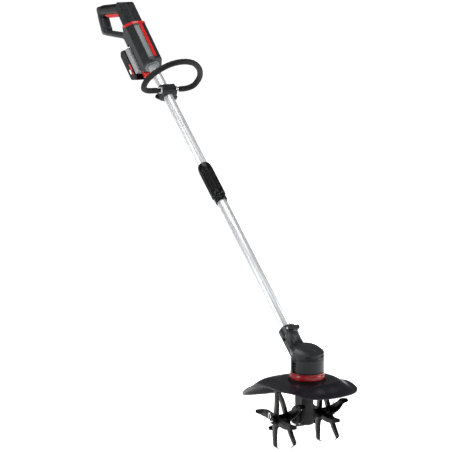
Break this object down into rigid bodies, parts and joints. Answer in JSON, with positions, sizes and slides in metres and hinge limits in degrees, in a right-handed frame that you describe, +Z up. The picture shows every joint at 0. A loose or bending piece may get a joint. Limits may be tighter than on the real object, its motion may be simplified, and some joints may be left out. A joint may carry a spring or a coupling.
{
  "type": "battery pole tiller",
  "caption": "Battery pole cultivator: straight split shaft, rear D-handle over a slide-in battery, front loop handle, guarded worm-drive head with four-armed tine stars.",
  "frame": {"origin": "middle of the rear D-handle's grip, where the hand holds the tool", "axes": "+X right of the user along the tine axle, +Y back towards the user, +Z up, with the shaft rising 40 degrees from head to handle as in use"},
  "size_m": [0.2538, 1.311, 1.1053],
  "materials": {
    "charcoal": "fine moulded grain, semi-matt",
    "black": "black moulded plastic",
    "red": "bright red moulded plastic",
    "collar_red": "dark glossy red plastic",
    "guard": "charcoal moulded plastic with a slight sheen",
    "tine_paint": "black painted steel",
    "tube": "bright satin anodised tube",
    "steel": "bright steel",
    "casting": "grey cast gear case",
    "foam": "matt closed-cell foam",
    "grey": "mid-grey moulded plastic",
    "copper": "copper windings on a laminated core",
    "board": "green lacquered circuit board",
    "bronze": "cut bronze",
    "rubber": "black rubber",
    "cells": "shrink-wrapped cell pack"
  },
  "bodies": {
    "rear_handle": {"upper_tube": "tube", "upper_wiring": "rubber", "wiring_socket": "black", "coupler_insert": "black", "handle_shell_left": "charcoal", "handle_shell_right": "charcoal", "red_band": "red", "top_stripe": "red", "switch_body": "black", "control_board": "board", "terminal_block": "black"},
    "digging_head": {"motor_housing": "charcoal", "motor_cap": "charcoal", "red_collar": "collar_red", "motor_bearing": "steel", "motor_can": "steel", "shaft_socket": "charcoal", "socket_clamp_screw": "steel", "guard_shield": "guard", "gear_case_left": "casting", "gear_case_right": "casting", "worm_bearing": "steel", "axle_bearing_left": "steel", "axle_bearing_right": "steel", "axle_seal_left": "rubber", "axle_seal_right": "rubber", "lower_tube": "tube", "lower_wiring": "rubber", "wiring_plug": "black", "coupler_collar": "black"},
    "tine_rotor": {"tine_axle": "steel", "worm_wheel": "bronze", "tine_star_outer_left": "tine_paint", "tine_star_inner_left": "tine_paint", "tine_star_inner_right": "tine_paint", "tine_star_outer_right": "tine_paint", "hub_tube_left": "tine_paint", "hub_tube_right": "tine_paint", "hairpin_clip_left": "steel", "hairpin_clip_right": "steel"},
    "motor_rotor": {"motor_shaft": "steel", "motor_armature": "copper", "cooling_fan": "black", "worm": "steel"},
    "twist_sleeve": {"coupler_sleeve": "black"},
    "loop_clamp": {"bracket_upper": "charcoal", "bracket_lower": "charcoal", "lever_pin": "steel"},
    "loop_handle": {"loop_tube": "steel", "loop_grip": "foam", "loop_washer_left": "steel", "loop_washer_right": "steel"},
    "lock_lever": {"clamp_lever": "black"},
    "trigger_paddle": {"trigger": "red"},
    "lock_button": {"lock_off_button": "black"},
    "battery": {"battery_tray": "black", "battery_lid": "grey", "battery_cells": "cells"},
    "latch": {"battery_latch": "red"},
    "socket_button": {"spring_button": "black"}
  },
  "joints": [
    {"name": "shaft_pull", "type": "slide", "parent": "rear_handle", "child": "digging_head", "axis": [0, -0.766, -0.6428], "range_m": [0, 0.06]},
    {"name": "coupler_twist", "type": "hinge", "parent": "rear_handle", "child": "twist_sleeve", "pos_m": [0, -0.596, -0.44007], "axis": [0, 0.766, 0.6428], "range_deg": [0, 90]},
    {"name": "tines_spin", "type": "hinge", "parent": "digging_head", "child": "tine_rotor", "pos_m": [0, -1.083, -0.99525], "axis": [1, 0, 0], "continuous": true},
    {"name": "motor_spin", "type": "hinge", "parent": "digging_head", "child": "motor_rotor", "pos_m": [0, -1.103, -0.99525], "axis": [0, 0, 1], "continuous": true},
    {"name": "socket_button_press", "type": "slide", "parent": "digging_head", "child": "socket_button", "axis": [1, 0, 0], "range_m": [0, 0.003], "stiffness_N_per_m": 400, "springref_m": -0.002},
    {"name": "loop_clamp_slide", "type": "slide", "parent": "rear_handle", "child": "loop_clamp", "axis": [0, 0.766, 0.6428], "range_m": [-0.15, 0]},
    {"name": "loop_tilt", "type": "hinge", "parent": "loop_clamp", "child": "loop_handle", "pos_m": [0, -0.34019, -0.20976], "axis": [1, 0, 0], "range_deg": [-30, 60]},
    {"name": "lock_lever_turn", "type": "hinge", "parent": "loop_clamp", "child": "lock_lever", "pos_m": [0, -0.32204, -0.23761], "axis": [0, -0.6428, 0.766], "range_deg": [0, 90]},
    {"name": "trigger_squeeze", "type": "hinge", "parent": "rear_handle", "child": "trigger_paddle", "pos_m": [0, 0.03616, -0.01412], "axis": [-1, 0, 0], "range_deg": [0, 6], "stiffness_Nm_per_rad": 0.3, "springref_deg": -11.46},
    {"name": "lock_off_press", "type": "slide", "parent": "rear_handle", "child": "lock_button", "axis": [1, 0, 0], "range_m": [0, 0.003], "stiffness_N_per_m": 400, "springref_m": -0.002},
    {"name": "battery_slide", "type": "slide", "parent": "rear_handle", "child": "battery", "axis": [0, -0.7355, -0.6775], "range_m": [0, 0.052]},
    {"name": "latch_press", "type": "slide", "parent": "battery", "child": "latch", "axis": [0, 0.6775, -0.7355], "range_m": [0, 0.0025], "stiffness_N_per_m": 600, "springref_m": -0.002}
  ],
  "couplings": [
    {"joint": "motor_spin", "follows": "tines_spin", "ratio": 20}
  ]
}
